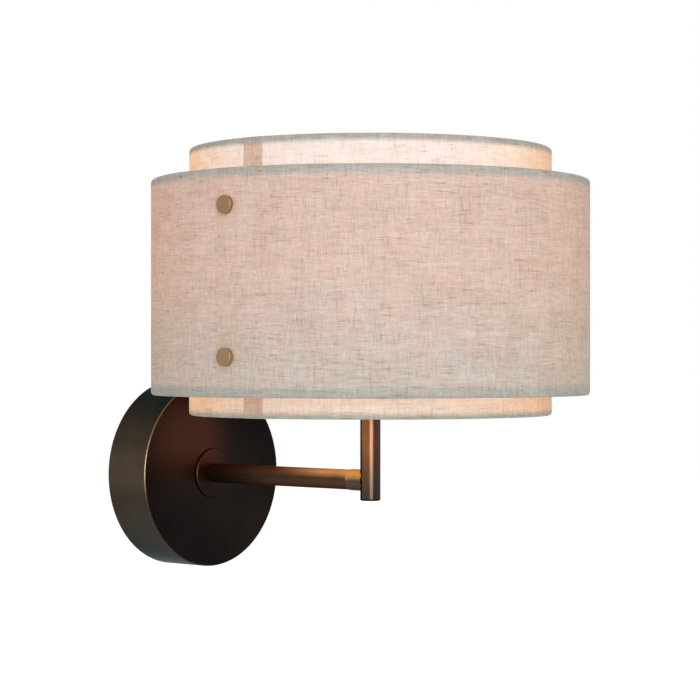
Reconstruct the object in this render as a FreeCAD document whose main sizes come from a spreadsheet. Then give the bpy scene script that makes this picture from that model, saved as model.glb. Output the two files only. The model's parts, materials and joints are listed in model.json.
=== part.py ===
import FreeCAD
import Part

"""A wall light: two concentric linen drum shades carried by a bronze arm on a round wall rose.

Frame: X to the right, Y into the wall and Z up, in millimetres. The origin lies in the plane of the wall,
midway between the two wall screws, so the light reaches out along -Y. Pieces that lie along the arm are
drawn with their own Z pointing out of the wall, and are then turned a quarter turn about X.
"""

import math
import os
import re

import Sketcher
from FreeCAD import Placement, Rotation, Vector

SIZES = {
    # Wall rose: a spun cup that covers the wiring.
    "rose_radius": 68.0,
    "rose_depth": 38.0,
    "rose_wall": 1.5,
    "rose_edge_round": 1.0,
    # Bracket: a steel strap with an ear at each end, screwed to the wall behind the rose.
    "strap_thick": 2.0,
    "strap_width": 26.0,
    "ear_height": 14.0,
    "ear_gap": 1.7,
    "wall_screw_spacing": 60.0,
    "wall_slot_width": 5.0,
    "wall_slot_length": 12.0,
    "cable_hole_radius": 9.0,
    "rose_screw_radius": 2.0,
    "rose_screw_length": 7.0,
    "rose_screw_height": 8.0,
    "earth_screw_x": 8.0,
    "earth_screw_up": 16.0,
    "earth_screw_radius": 2.0,
    "earth_head_radius": 4.0,
    "earth_head_thick": 2.4,
    # Terminal block on the strap.
    "block_width": 26.0,
    "block_length": 16.0,
    "block_height": 13.0,
    "block_drop": 50.0,
    "pole_pitch": 12.0,
    "pole_height": 6.0,
    "pole_bore": 1.9,
    "pole_screw_radius": 1.8,
    "pole_screw_sink": 1.0,
    # Arm.
    "tube_radius": 7.0,
    "tube_wall": 1.0,
    "reach": 191.5,
    "collar_radius": 18.0,
    "collar_thick": 2.0,
    "collar_bevel": 0.6,
    "ferrule_radius": 7.4,
    "ferrule_length": 10.0,
    "ferrule_bite": 4.0,
    "ferrule_spigot": 10.0,
    "ferrule_bore": 4.4,
    # Hollow threaded nipples, the bushes that they screw into, and the stack that clamps the rose.
    "nipple_radius": 5.0,
    "nipple_bore": 3.5,
    "nipple_end": 3.0,
    "bush_length": 12.0,
    "nut_across": 14.0,
    "nut_thick": 3.0,
    "washer_radius": 8.5,
    "washer_thick": 1.0,
    "tag_thick": 0.8,
    "tag_reach": 14.0,
    "tag_width": 5.0,
    # Post.
    "post_top": 47.0,
    "post_foot": 13.8,
    "foot_cap_thick": 1.4,
    "foot_cap_round": 1.1,
    "foot_cap_spigot": 5.0,
    # Lampholder.
    "holder_radius": 19.5,
    "holder_wall": 2.2,
    "hub_radius": 8.5,
    "hub_height": 9.0,
    "cap_height": 23.0,
    "cap_dome": 8.0,
    "skirt_height": 30.0,
    "shoulder_radius": 24.5,
    "shoulder_thick": 2.5,
    "carrier_thick": 5.0,
    "sleeve_height": 24.0,
    "sleeve_wall": 0.6,
    "contact_width": 5.0,
    "contact_thick": 0.6,
    "contact_rise": 3.0,
    "contact_hole_x": 9.5,
    "carrier_hole_radius": 1.6,
    # Ring that screws down on the shades' fitter.
    "shade_ring_radius": 28.0,
    "shade_ring_height": 8.0,
    "shade_ring_flutes": 18,
    "flute_radius": 2.0,
    # Bulb.
    "screw_cap_radius": 13.2,
    "screw_cap_height": 24.0,
    "screw_cap_wall": 0.6,
    "solder_radius": 4.5,
    "solder_thick": 1.0,
    "insulator_height": 3.0,
    "globe_radius": 30.0,
    "neck_radius": 13.6,
    "neck_height": 6.0,
    "glass_height": 81.0,
    "glass_wall": 1.0,
    # Shades: laminated linen, hemmed over a steel hoop at each edge.
    "outer_radius": 150.0,
    "outer_bottom": 58.8,
    "outer_height": 146.2,
    "outer_hem": 6.0,
    "inner_radius": 124.0,
    "inner_bottom": 45.0,
    "inner_height": 181.5,
    "inner_top_hem": 6.5,
    "inner_bottom_hem": 3.6,
    "laminate": 1.0,
    "linen": 0.6,
    "edge_round": 0.5,
    "seam_lap": 16.4,
    "seam_angle": 184.0,
    "hoop_wire": 1.5,
    # Fitter and arms that carry the shades.
    "fitter_radius": 27.0,
    "fitter_thick": 2.0,
    "spider_wire": 2.0,
    "spider_knee": 48.0,
    "spider_bend": 30.0,
    "spider_arms": 3,
    "spider_first_angle": 30.0,
    # Stand-offs that hold the outer shade round the inner one.
    "knob_radius": 5.9,
    "knob_thick": 3.0,
    "knob_round": 0.5,
    "knob_inset_high": 23.8,
    "knob_inset_low": 25.8,
    "spacer_radius": 4.0,
    "shade_screw_radius": 2.0,
    "shade_nut_radius": 4.5,
    "shade_nut_thick": 3.0,
    "drum_gap": 0.15,
    # Insulated wires.
    "wire_radius": 1.1,
    "wire_spread": 1.35,
    "wire_bend": 6.0,
    "wire_rise": 14.0,
    "wire_lead": 8.0,
    "wire_exit": 1.5,
    "wire_entry": 3.0,
    # Clearances: between fixed pieces that fit each other, and between pieces that turn.
    "snug": 0.05,
    "turn_gap": 0.3,
}

doc = FreeCAD.newDocument("wall_light")
sheet = doc.addObject("Spreadsheet::Sheet", "Sizes")
for row, (alias, number) in enumerate(SIZES.items(), start=1):
    sheet.set(f"A{row}", alias)
    sheet.set(f"B{row}", str(number))
    sheet.setAlias(f"B{row}", alias)
doc.recompute()

OUT_OF_WALL = Rotation(Vector(1, 0, 0), 90)
UPRIGHT = Rotation()
DOWNWARD = Rotation(Vector(1, 0, 0), 180)
UP = Vector(0, 0, 1)
nodes = {}


def bound(formula):
    """The formula as an expression, with each size's name pointing at its cell."""
    return re.sub(r"[A-Za-z_]\w*", lambda word: f"Sizes.{word[0]}" if word[0] in SIZES else word[0], formula)


def size(formula):
    """A size or formula as a number, for a shape that is worked out here."""
    return float(sheet.evalExpression(bound(formula)))


def node(label, thing):
    """Names a finished sub-part and keeps it for export."""
    thing.Label = label
    nodes[label] = thing
    return thing


def place(thing, turn=UPRIGHT, x="0", y="0", z="0"):
    """Puts a sub-part at bound coordinates in the light's frame."""
    thing.Placement = Placement(Vector(), turn)
    for axis, formula in (("x", x), ("y", y), ("z", z)):
        thing.setExpression(f"Placement.Base.{axis}", bound(formula))
    return thing


# ---------------------------------------------------------------- sketches and features


def sketch_on(body, role, name, lift="0"):
    """A sketch on one of the body's own origin planes, lifted along its normal."""
    drawn = body.newObject("Sketcher::SketchObject", name)
    plane = next(thing for thing in body.Origin.OriginFeatures if thing.Role == role)
    drawn.AttachmentSupport = (plane, [""])
    drawn.MapMode = "FlatFace"
    drawn.setExpression("AttachmentOffset.Base.z", bound(lift))
    return drawn


def pin_point(drawn, geometry, point, x, y):
    """Holds a point of a sketch at bound coordinates."""
    for kind, formula, axis in (("DistanceX", x, -2), ("DistanceY", y, -1)):
        if formula == "0":
            drawn.addConstraint(Sketcher.Constraint("PointOnObject", geometry, point, axis))
        else:
            index = drawn.addConstraint(Sketcher.Constraint(kind, -1, 1, geometry, point, 1.0))
            drawn.setExpression(f"Constraints[{index}]", bound(formula))


def draw_outline(drawn, points):
    """A closed outline of straight lines through bound points."""
    count = len(points)
    corners = [Vector(math.cos(2 * math.pi * k / count), math.sin(2 * math.pi * k / count), 0)
               for k in range(count)]
    first = drawn.GeometryCount
    for k in range(count):
        drawn.addGeometry(Part.LineSegment(corners[k], corners[(k + 1) % count]), False)
    for k in range(count):
        drawn.addConstraint(Sketcher.Constraint("Coincident", first + k, 2, first + (k + 1) % count, 1))
    for k, (x, y) in enumerate(points):
        pin_point(drawn, first + k, 1, x, y)


def draw_circle(drawn, x, y, radius):
    """A circle with a bound centre and radius."""
    circle = drawn.addGeometry(Part.Circle(Vector(1, 1, 0), UP, 1.0), False)
    pin_point(drawn, circle, 3, x, y)
    index = drawn.addConstraint(Sketcher.Constraint("Radius", circle, 1.0))
    drawn.setExpression(f"Constraints[{index}]", bound(radius))


def turned(label, points):
    """A body turned about its own Z from an outline of (radius, height) points."""
    body = doc.addObject("PartDesign::Body", label)
    outline = sketch_on(body, "XZ_Plane", label + "_profile")
    draw_outline(outline, points)
    turning = body.newObject("PartDesign::Revolution", label + "_turned")
    turning.Profile = outline
    turning.ReferenceAxis = (outline, ["V_Axis"])
    turning.Angle = 360
    doc.recompute()
    return node(label, body)


def ring(label, inner, outer, low, high):
    """A plain ring or tube about Z, from low to high."""
    return turned(label, [(inner, low), (outer, low), (outer, high), (inner, high)])


def pad(body, drawn, length, midplane=False):
    """Pads a sketch by a bound length."""
    padded = body.newObject("PartDesign::Pad", drawn.Name + "_pad")
    padded.Profile = drawn
    padded.setExpression("Length", bound(length))
    padded.Midplane = midplane
    doc.recompute()


def cut(body, drawn, depth=None, both_ways=True, reverse=False):
    """Cuts a sketch into the body, right through or to a bound depth, and checks that it took material."""
    before = body.Shape.Volume
    pocket = body.newObject("PartDesign::Pocket", drawn.Name + "_cut")
    pocket.Profile = drawn
    if depth:
        pocket.setExpression("Length", bound(depth))
    else:
        pocket.Type = "ThroughAll"
        pocket.Midplane = both_ways
    pocket.Reversed = reverse
    doc.recompute()
    if not body.Shape.Volume < before:
        raise RuntimeError(f"{drawn.Name} cut nothing")
    return pocket


def ease_edges(body, kind, amount, circles):
    """Rounds or bevels the round edges at the given (radius, height) on the body's last feature."""
    base = body.Tip
    wanted = [(size(radius), size(height)) for radius, height in circles]
    names = []
    for index, edge in enumerate(base.Shape.Edges, start=1):
        if isinstance(edge.Curve, Part.Circle):
            names += [f"Edge{index}" for radius, height in wanted
                      if math.isclose(edge.Curve.Radius, radius, abs_tol=1e-4)
                      and math.isclose(edge.Curve.Center.z, height, abs_tol=1e-4)]
    if len(names) < len(circles):
        raise RuntimeError(f"{body.Label} lacks an edge to ease")
    eased = body.newObject("PartDesign::" + kind, f"{body.Name}_{kind.lower()}")
    eased.Base = (base, names)
    eased.setExpression("Size" if kind == "Chamfer" else "Radius", bound(amount))
    doc.recompute()


def feature(label, shape):
    """A sub-part whose shape is worked out here."""
    made = doc.addObject("Part::Feature", label)
    made.Shape = shape
    return node(label, made)


def rod(points, bends, radius):
    """A round rod along straight runs, with a tangent arc of the given radius at each point between them."""
    edges = []
    start = points[0]
    for before, corner, after, bend in zip(points, points[1:], points[2:], bends):
        into = (corner - before).normalize()
        out = (after - corner).normalize()
        half_turn = into.getAngle(out) / 2
        setback = bend * math.tan(half_turn)
        entry = corner - into * setback
        leave = corner + out * setback
        inward = (out - into).normalize()
        middle = corner + inward * (bend / math.cos(half_turn) - bend)
        edges.append(Part.LineSegment(start, entry).toShape())
        edges.append(Part.Arc(entry, middle, leave).toShape())
        start = leave
    edges.append(Part.LineSegment(start, points[-1]).toShape())
    path = Part.Wire(edges)
    section = Part.Wire(Part.Circle(points[0], points[1] - points[0], radius).toShape())
    solid = path.makePipeShell([section], True, False)
    expected = math.pi * radius ** 2 * path.Length
    if not math.isclose(solid.Volume, expected, rel_tol=0.01):
        raise RuntimeError("a rod has the wrong volume")
    return solid


# ---------------------------------------------------------------- wall rose and bracket

ROSE_INNER = "(rose_radius - rose_wall)"
EAR_FACE = "(rose_radius - rose_wall - ear_gap)"
BLOCK_FLOOR = "strap_thick"
NIPPLE_HOLE = "(nipple_radius + snug)"


def make_bracket():
    """Strap with bent ears, a cable hole, a slot for each wall screw, and tapped holes."""
    body = doc.addObject("PartDesign::Body", "mounting_bracket")
    side = sketch_on(body, "YZ_Plane", "strap_side")
    inside = f"({EAR_FACE} - strap_thick)"
    draw_outline(side, [
        (f"-{EAR_FACE}", "0"), (EAR_FACE, "0"), (EAR_FACE, "ear_height"), (inside, "ear_height"),
        (inside, "strap_thick"), (f"-{inside}", "strap_thick"), (f"-{inside}", "ear_height"),
        (f"-{EAR_FACE}", "ear_height")])
    pad(body, side, "strap_width", midplane=True)
    cable_hole = sketch_on(body, "XY_Plane", "cable_hole")
    draw_circle(cable_hole, "0", "0", "cable_hole_radius")
    cut(body, cable_hole)
    half_width = "wall_slot_width / 2"
    half_run = "(wall_slot_length - wall_slot_width) / 2"
    for name, sign in (("upper", ""), ("lower", "-")):
        centre = f"{sign}wall_screw_spacing / 2"
        run = sketch_on(body, "XY_Plane", name + "_slot")
        draw_outline(run, [
            (f"-{half_width}", f"{centre} - {half_run}"), (half_width, f"{centre} - {half_run}"),
            (half_width, f"{centre} + {half_run}"), (f"-{half_width}", f"{centre} + {half_run}")])
        cut(body, run)
        for end, step in (("top", "+"), ("bottom", "-")):
            slot_end = sketch_on(body, "XY_Plane", f"{name}_slot_{end}")
            draw_circle(slot_end, "0", f"{centre} {step} {half_run}", half_width)
            cut(body, slot_end)
    earth_hole = sketch_on(body, "XY_Plane", "earth_hole")
    draw_circle(earth_hole, "earth_screw_x", "earth_screw_up", "earth_screw_radius + snug")
    cut(body, earth_hole)
    ear_holes = sketch_on(body, "XZ_Plane", "ear_holes")
    draw_circle(ear_holes, "0", "rose_screw_height", "rose_screw_radius + snug")
    cut(body, ear_holes)
    place(node("mounting_bracket", body), OUT_OF_WALL)


def make_rose():
    """The spun cup, with its front edge rounded and a screw hole at the top and bottom of its rim."""
    body = turned("rose_cover", [
        (ROSE_INNER, "0"), ("rose_radius", "0"), ("rose_radius", "rose_depth"), (NIPPLE_HOLE, "rose_depth"),
        (NIPPLE_HOLE, "rose_depth - rose_wall"), (ROSE_INNER, "rose_depth - rose_wall")])
    ease_edges(body, "Fillet", "rose_edge_round", [("rose_radius", "rose_depth")])
    rim_holes = sketch_on(body, "XZ_Plane", "rim_holes")
    draw_circle(rim_holes, "0", "rose_screw_height", "rose_screw_radius + snug")
    cut(body, rim_holes)
    place(body, OUT_OF_WALL)


def make_rose_screws():
    """Headless screws through the rim into the bracket's ears, each with a socket for its key."""
    head = "(rose_radius - snug)"
    socket = "(rose_radius - snug - rose_screw_radius)"
    for name, turn in (("top", UPRIGHT), ("bottom", DOWNWARD)):
        screw = turned("rose_screw_" + name, [
            ("0", f"{head} - rose_screw_length"), ("rose_screw_radius", f"{head} - rose_screw_length"),
            ("rose_screw_radius", head), ("rose_screw_radius / 2", head), ("rose_screw_radius / 2", socket),
            ("0", socket)])
        place(screw, turn, y="-rose_screw_height")


def make_earth_screw():
    """Pan-head screw for the earth wire, through the strap."""
    head = "strap_thick + earth_head_thick"
    screw = turned("earth_screw", [
        ("0", "0"), ("earth_screw_radius", "0"), ("earth_screw_radius", "strap_thick"),
        ("earth_head_radius", "strap_thick"), ("earth_head_radius", head), ("0", head)])
    place(screw, OUT_OF_WALL, x="earth_screw_x", z="earth_screw_up")


def make_terminal_block():
    """Two-pole block: a moulded body with a wire bore and two screw wells in each pole, and its screws."""
    body = doc.addObject("PartDesign::Body", "terminal_block")
    base = sketch_on(body, "XY_Plane", "block_base", lift=BLOCK_FLOOR)
    low = "-block_drop - block_length / 2"
    high = "-block_drop + block_length / 2"
    draw_outline(base, [("-block_width / 2", low), ("block_width / 2", low), ("block_width / 2", high),
                        ("-block_width / 2", high)])
    pad(body, base, "block_height")
    bores = sketch_on(body, "XZ_Plane", "wire_bores")
    wells = sketch_on(body, "XY_Plane", "screw_wells", lift=f"{BLOCK_FLOOR} + block_height")
    for side in ("-", ""):
        draw_circle(bores, f"{side}pole_pitch / 2", f"{BLOCK_FLOOR} + pole_height", "pole_bore")
        for step in ("-", "+"):
            draw_circle(wells, f"{side}pole_pitch / 2", f"-block_drop {step} block_length / 4",
                        "pole_screw_radius + snug")
    cut(body, bores)
    cut(body, wells, depth="block_height - pole_height")
    place(node("terminal_block", body), OUT_OF_WALL)
    tip = f"{BLOCK_FLOOR} + pole_height + wire_radius + snug"
    for side, pole in (("-", "live"), ("", "neutral")):
        for step, end in (("-", "supply"), ("+", "lamp")):
            screw = turned(f"terminal_screw_{pole}_{end}", [
                ("0", tip), ("pole_screw_radius", tip),
                ("pole_screw_radius", f"{BLOCK_FLOOR} + block_height - pole_screw_sink"),
                ("0", f"{BLOCK_FLOOR} + block_height - pole_screw_sink")])
            place(screw, OUT_OF_WALL, x=f"{side}pole_pitch / 2", z=f"-block_drop {step} block_length / 4")


# ---------------------------------------------------------------- arm

ARM_START = "(rose_depth + collar_thick)"
ARM_END = "(reach - tube_radius - ferrule_length)"
TUBE_BORE = "(tube_radius - tube_wall)"
WASHER_FACE = "(rose_depth - rose_wall - washer_thick)"
TAG_FACE = "(rose_depth - rose_wall - washer_thick - tag_thick)"
NUT_FACE = "(rose_depth - rose_wall - washer_thick - tag_thick - nut_thick)"


def make_arm():
    """Collar, tube and threaded bush, the nipple with the stack that clamps the rose, and the ferrule."""
    collar = ring("arm_collar", NIPPLE_HOLE, "collar_radius", "rose_depth", ARM_START)
    ease_edges(collar, "Chamfer", "collar_bevel", [("collar_radius", ARM_START)])
    bush_end = f"{ARM_START} + bush_length"
    pieces = [
        collar,
        ring("arm_tube", TUBE_BORE, "tube_radius", ARM_START, ARM_END),
        ring("arm_bush", NIPPLE_HOLE, f"{TUBE_BORE} - snug", ARM_START, bush_end),
        ring("arm_nipple", "nipple_bore", "nipple_radius", f"{NUT_FACE} - nipple_end", bush_end),
        ring("lock_washer", NIPPLE_HOLE, "washer_radius", WASHER_FACE, "rose_depth - rose_wall"),
        make_earth_tag(),
        make_nut(),
        make_ferrule()]
    for piece in pieces:
        place(piece, OUT_OF_WALL)


def make_earth_tag():
    """Flat ring round the nipple with a tongue for the earth wire."""
    body = doc.addObject("PartDesign::Body", "earth_tag")
    disc = sketch_on(body, "XY_Plane", "tag_ring", lift=TAG_FACE)
    draw_circle(disc, "0", "0", "washer_radius")
    pad(body, disc, "tag_thick")
    tongue = sketch_on(body, "XY_Plane", "tag_tongue", lift=TAG_FACE)
    draw_outline(tongue, [("-tag_width / 2", "0"), ("tag_width / 2", "0"), ("tag_width / 2", "tag_reach"),
                          ("-tag_width / 2", "tag_reach")])
    pad(body, tongue, "tag_thick")
    hole = sketch_on(body, "XY_Plane", "tag_hole")
    draw_circle(hole, "0", "0", NIPPLE_HOLE)
    cut(body, hole)
    return node("earth_tag", body)


def make_nut():
    """Hexagon nut on the nipple, inside the rose."""
    body = doc.addObject("PartDesign::Body", "arm_nut")
    hexagon = sketch_on(body, "XY_Plane", "nut_flats", lift=NUT_FACE)
    half_side = "nut_across / 2 * tan(30deg)"
    half_corners = "nut_across / 2 / cos(30deg)"
    draw_outline(hexagon, [
        (half_corners, "0"), (half_side, "nut_across / 2"), (f"-({half_side})", "nut_across / 2"),
        (f"-({half_corners})", "0"), (f"-({half_side})", "-nut_across / 2"), (half_side, "-nut_across / 2")])
    pad(body, hexagon, "nut_thick")
    hole = sketch_on(body, "XY_Plane", "nut_hole")
    draw_circle(hole, "0", "0", NIPPLE_HOLE)
    cut(body, hole)
    return node("arm_nut", body)


def make_ferrule():
    """Bright ring at the arm's end: a spigot in the tube and a head hollowed to fit the round post."""
    spigot = f"({TUBE_BORE} - snug)"
    mouth = "reach - tube_radius + ferrule_bite"
    body = turned("arm_ferrule", [
        ("ferrule_bore", f"{ARM_END} - ferrule_spigot"), (spigot, f"{ARM_END} - ferrule_spigot"),
        (spigot, ARM_END), ("ferrule_radius", ARM_END), ("ferrule_radius", mouth), ("ferrule_bore", mouth)])
    saddle = sketch_on(body, "XZ_Plane", "post_saddle")
    draw_circle(saddle, "0", "reach", "tube_radius + snug")
    cut(body, saddle)
    return body


# ---------------------------------------------------------------- post and lampholder

CAP_TOP = "(post_top + cap_height)"
SHOULDER_TOP = "(post_top + cap_height + shoulder_thick)"
HOLDER_BORE = "(holder_radius - holder_wall)"
THREAD_BORE = "(screw_cap_radius + turn_gap)"
FITTER_LOW = "(post_top + cap_height + shoulder_thick + turn_gap)"
FITTER_HIGH = "(post_top + cap_height + shoulder_thick + turn_gap + fitter_thick)"


def make_post():
    """Upright tube with a side hole for the wires, its foot cap, and the bush and nipple at its top."""
    foot = "(foot_cap_thick - post_foot)"
    spigot = f"({TUBE_BORE} - snug)"
    tube = ring("post_tube", TUBE_BORE, "tube_radius", foot, "post_top")
    side_hole = sketch_on(tube, "XZ_Plane", "wire_hole")
    draw_circle(side_hole, "0", "0", "ferrule_bore")
    cut(tube, side_hole, both_ways=False)
    cap = turned("post_foot_cap", [
        ("0", "-post_foot"), ("tube_radius", "-post_foot"), ("tube_radius", foot), (spigot, foot),
        (spigot, f"{foot} + foot_cap_spigot"), ("0", f"{foot} + foot_cap_spigot")])
    ease_edges(cap, "Fillet", "foot_cap_round", [("tube_radius", "-post_foot")])
    bush = ring("post_bush", NIPPLE_HOLE, spigot, "post_top - bush_length", "post_top")
    nipple = ring("holder_nipple", "nipple_bore", "nipple_radius", "post_top - bush_length",
                  "post_top + hub_height")
    for piece in (tube, cap, bush, nipple):
        place(piece, y="-reach")


def make_holder():
    """Lampholder for a screw bulb: domed cap, contact carrier, screw sleeve and skirt with a shoulder."""
    hub_top = "post_top + hub_height"
    waist = "post_top + hub_height / 2"
    dome = f"{CAP_TOP} - cap_dome"
    skirt_top = f"({CAP_TOP} + skirt_height)"
    cap = turned("holder_cap", [
        (NIPPLE_HOLE, "post_top"), ("hub_radius", "post_top"), ("hub_radius", waist), ("holder_radius", dome),
        ("holder_radius", CAP_TOP), (HOLDER_BORE, CAP_TOP), (HOLDER_BORE, f"{dome} + holder_wall"),
        ("hub_radius", hub_top), (NIPPLE_HOLE, hub_top)])
    skirt = turned("holder_skirt", [
        (HOLDER_BORE, CAP_TOP), ("shoulder_radius", CAP_TOP), ("shoulder_radius", SHOULDER_TOP),
        ("holder_radius", SHOULDER_TOP), ("holder_radius", skirt_top), (THREAD_BORE, skirt_top),
        (THREAD_BORE, f"{skirt_top} - holder_wall"), (HOLDER_BORE, f"{skirt_top} - holder_wall")])
    sleeve = ring("screw_sleeve", THREAD_BORE, f"{THREAD_BORE} + sleeve_wall", CAP_TOP,
                  f"{CAP_TOP} + sleeve_height")
    carrier = turned("contact_carrier", [
        ("0", f"{CAP_TOP} - carrier_thick"), (f"{HOLDER_BORE} - snug", f"{CAP_TOP} - carrier_thick"),
        (f"{HOLDER_BORE} - snug", CAP_TOP), ("0", CAP_TOP)])
    wire_holes = sketch_on(carrier, "XY_Plane", "wire_holes")
    for side in ("-", ""):
        draw_circle(wire_holes, f"{side}contact_hole_x", "0", "carrier_hole_radius")
    cut(carrier, wire_holes)
    for piece in (cap, skirt, sleeve, carrier):
        place(piece, y="-reach")


def make_contacts():
    """Sprung strips on the carrier: one under the bulb's centre contact, one against the screw sleeve."""
    bend = f"({CAP_TOP} + contact_thick)"
    rise = f"({CAP_TOP} + contact_rise)"
    spring = "(solder_radius + contact_thick)"
    far_end = "(contact_hole_x + carrier_hole_radius)"
    near_end = "(contact_hole_x - carrier_hole_radius)"
    stand = f"({THREAD_BORE} - turn_gap)"
    strips = {
        "centre_contact": [
            ("solder_radius", CAP_TOP), (far_end, CAP_TOP), (far_end, bend), (spring, bend), (spring, rise),
            ("-solder_radius", rise), ("-solder_radius", f"{rise} - contact_thick"),
            ("solder_radius", f"{rise} - contact_thick")],
        "side_contact": [
            (f"-{stand}", CAP_TOP), (f"-{near_end}", CAP_TOP), (f"-{near_end}", bend),
            (f"-({stand} - contact_thick)", bend), (f"-({stand} - contact_thick)", rise),
            (f"-{stand}", rise)]}
    for name, outline in strips.items():
        body = doc.addObject("PartDesign::Body", name)
        strip = sketch_on(body, "XZ_Plane", name + "_strip")
        draw_outline(strip, outline)
        pad(body, strip, "contact_width", midplane=True)
        place(node(name, body), y="-reach")


def make_shade_ring():
    """Fluted ring that screws down the skirt onto the shades' fitter."""
    low = f"({FITTER_HIGH} + turn_gap)"
    high = f"({FITTER_HIGH} + turn_gap + shade_ring_height)"
    body = ring("shade_ring", "holder_radius + turn_gap", "shade_ring_radius", low, high)
    flute = sketch_on(body, "XY_Plane", "ring_flute")
    draw_circle(flute, "shade_ring_radius + flute_radius / 2", "0", "flute_radius")
    first = cut(body, flute)
    flutes = body.newObject("PartDesign::PolarPattern", "ring_flutes")
    flutes.Originals = [first]
    flutes.Axis = (flute, ["N_Axis"])
    flutes.Angle = 360
    flutes.setExpression("Occurrences", bound("shade_ring_flutes"))
    body.Tip = flutes
    doc.recompute()
    place(body, y="-reach")


# ---------------------------------------------------------------- bulb

BULB_FOOT = f"({CAP_TOP} + contact_rise)"
INSULATOR_FOOT = f"({CAP_TOP} + contact_rise + solder_thick)"
SCREW_CAP_FOOT = f"({CAP_TOP} + contact_rise + solder_thick + insulator_height)"
GLASS_FOOT = f"({CAP_TOP} + contact_rise + solder_thick + insulator_height + screw_cap_height)"


def make_bulb():
    """Opal bulb: centre contact, black insulator, screw cap and glass."""
    cap_bore = "(screw_cap_radius - screw_cap_wall)"
    plug = f"({cap_bore} - snug)"
    contact = turned("bulb_contact", [
        ("0", BULB_FOOT), ("solder_radius", BULB_FOOT), ("solder_radius", INSULATOR_FOOT),
        ("0", INSULATOR_FOOT)])
    insulator = turned("bulb_insulator", [
        ("0", INSULATOR_FOOT), ("solder_radius", INSULATOR_FOOT), (plug, SCREW_CAP_FOOT),
        (plug, f"{SCREW_CAP_FOOT} + insulator_height"), ("0", f"{SCREW_CAP_FOOT} + insulator_height")])
    cap = ring("bulb_screw_cap", cap_bore, "screw_cap_radius", SCREW_CAP_FOOT, GLASS_FOOT)
    outside = bulb_face(0)
    inside = bulb_face(size("glass_wall"))
    glass = feature("bulb_glass", outside.revolve(Vector(), UP, 360).cut(inside.revolve(Vector(), UP, 360)))
    for piece in (contact, insulator, cap, glass):
        place(piece, y="-reach")


def bulb_face(inset):
    """Half section of the bulb, shrunk by an inset: a straight neck, a cone and a globe tangent to it."""
    foot = size(GLASS_FOOT)
    neck = size("neck_radius") - inset
    globe = size("globe_radius") - inset
    shoulder = foot + size("neck_height")
    centre = foot + size("glass_height") - size("globe_radius")
    to_shoulder = math.atan2(shoulder - centre, neck)
    tangent = to_shoulder + math.acos(globe / math.hypot(neck, shoulder - centre))

    def on_globe(angle):
        return Vector(globe * math.cos(angle), 0, centre + globe * math.sin(angle))

    crown = math.pi / 2
    corners = [Vector(0, 0, foot), Vector(neck, 0, foot), Vector(neck, 0, shoulder), on_globe(tangent)]
    edges = [Part.LineSegment(a, b).toShape() for a, b in zip(corners, corners[1:])]
    edges.append(Part.Arc(on_globe(tangent), on_globe((tangent + crown) / 2), on_globe(crown)).toShape())
    edges.append(Part.LineSegment(on_globe(crown), corners[0]).toShape())
    return Part.Face(Part.Wire(edges))


# ---------------------------------------------------------------- shades

KNOB_LEVELS = {
    "low": "(outer_bottom + knob_inset_low)",
    "high": "(outer_bottom + outer_height - knob_inset_high)"}


def make_shade(name, radius, bottom, height, top_hem, bottom_hem):
    """A linen drum with its edges turned in over two steel hoops, lapped at the seam, and drilled."""
    top = f"({bottom} + {height})"
    wall = f"({radius} - laminate)"
    flap = f"({radius} - laminate - 2 * hoop_wire - 2 * snug)"
    lip = f"({radius} - laminate - 2 * hoop_wire - 2 * snug - linen)"
    body = turned(name + "_drum", [
        (radius, bottom), (radius, top), (lip, top), (lip, f"{top} - {top_hem}"),
        (flap, f"{top} - {top_hem}"),
        (flap, f"{top} - linen"), (wall, f"{top} - linen"), (wall, f"{bottom} + linen"),
        (flap, f"{bottom} + linen"), (flap, f"{bottom} + {bottom_hem}"), (lip, f"{bottom} + {bottom_hem}"),
        (lip, bottom)])
    ease_edges(body, "Fillet", "edge_round", [(radius, bottom), (radius, top), (lip, bottom), (lip, top)])
    lap = sketch_on(body, "XZ_Plane", name + "_lap")
    under = f"({radius} - laminate / 2)"
    over = f"({radius} + linen)"
    low = f"({bottom} + edge_round)"
    high = f"({top} - edge_round)"
    draw_outline(lap, [(under, low), (over, low), (over, high), (under, high)])
    lapped = body.newObject("PartDesign::Revolution", name + "_lapped")
    lapped.Profile = lap
    lapped.ReferenceAxis = (lap, ["V_Axis"])
    lapped.Midplane = True
    lapped.setExpression("Angle", bound(f"seam_lap / {radius} * 1rad"))
    doc.recompute()
    screw_holes = sketch_on(body, "YZ_Plane", name + "_screw_holes")
    for level in KNOB_LEVELS.values():
        draw_circle(screw_holes, "0", level, "shade_screw_radius + snug")
    cut(body, screw_holes)
    place(body, Rotation(UP, size("seam_angle")), y="-reach")
    for edge, level in (("top", f"{top} - linen - snug - hoop_wire"),
                        ("bottom", f"{bottom} + linen + snug + hoop_wire")):
        hoop = doc.addObject("Part::Torus", f"{name}_{edge}_hoop")
        hoop.setExpression("Radius1", bound(f"{wall} - snug - hoop_wire"))
        hoop.setExpression("Radius2", bound("hoop_wire"))
        place(node(f"{name}_{edge}_hoop", hoop), y="-reach", z=level)


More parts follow.
